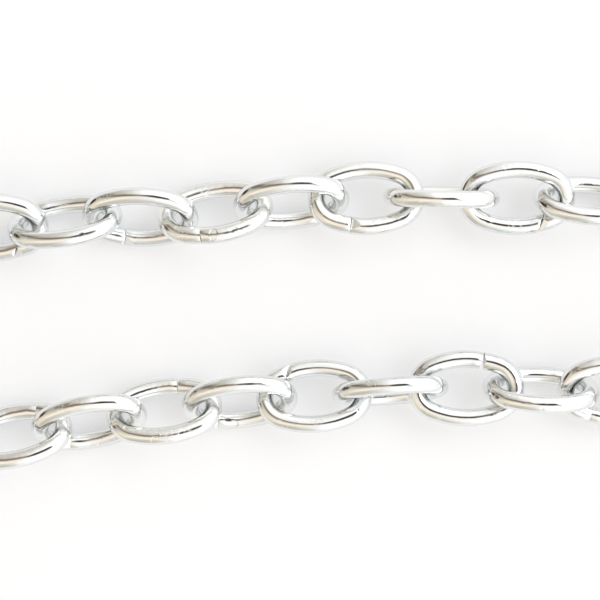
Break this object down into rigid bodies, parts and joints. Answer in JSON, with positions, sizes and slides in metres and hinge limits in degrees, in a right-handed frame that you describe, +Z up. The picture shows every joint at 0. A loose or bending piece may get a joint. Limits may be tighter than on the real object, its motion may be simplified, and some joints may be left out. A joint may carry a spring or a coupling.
{
  "type": "oval cable chain",
  "caption": "Cut length of polished aluminium oval cable chain, doubled back on itself, lying loosely on a flat surface.",
  "frame": {"origin": "centre of the chain's bounding box on the floor it lies on", "axes": "+X along the two runs towards the fold, +Y across from the second run to the first, +Z up"},
  "size_m": [0.1414, 0.0324, 0.0078],
  "materials": {
    "aluminium_wire": "polished"
  },
  "bodies": {
    "root": {"link_01": "aluminium_wire", "link_02": "aluminium_wire", "link_03": "aluminium_wire", "link_04": "aluminium_wire", "link_05": "aluminium_wire", "link_06": "aluminium_wire", "link_07": "aluminium_wire", "link_08": "aluminium_wire", "link_09": "aluminium_wire", "link_10": "aluminium_wire", "link_11": "aluminium_wire", "link_12": "aluminium_wire", "link_13": "aluminium_wire", "link_14": "aluminium_wire", "link_15": "aluminium_wire", "link_16": "aluminium_wire", "link_17": "aluminium_wire", "link_18": "aluminium_wire", "link_19": "aluminium_wire", "link_20": "aluminium_wire", "link_21": "aluminium_wire", "link_22": "aluminium_wire", "link_23": "aluminium_wire", "link_24": "aluminium_wire", "link_25": "aluminium_wire", "link_26": "aluminium_wire", "link_27": "aluminium_wire", "link_28": "aluminium_wire", "link_29": "aluminium_wire", "link_30": "aluminium_wire", "link_31": "aluminium_wire", "link_32": "aluminium_wire", "link_33": "aluminium_wire", "link_34": "aluminium_wire", "link_35": "aluminium_wire", "link_36": "aluminium_wire"}
  },
  "joints": []
}
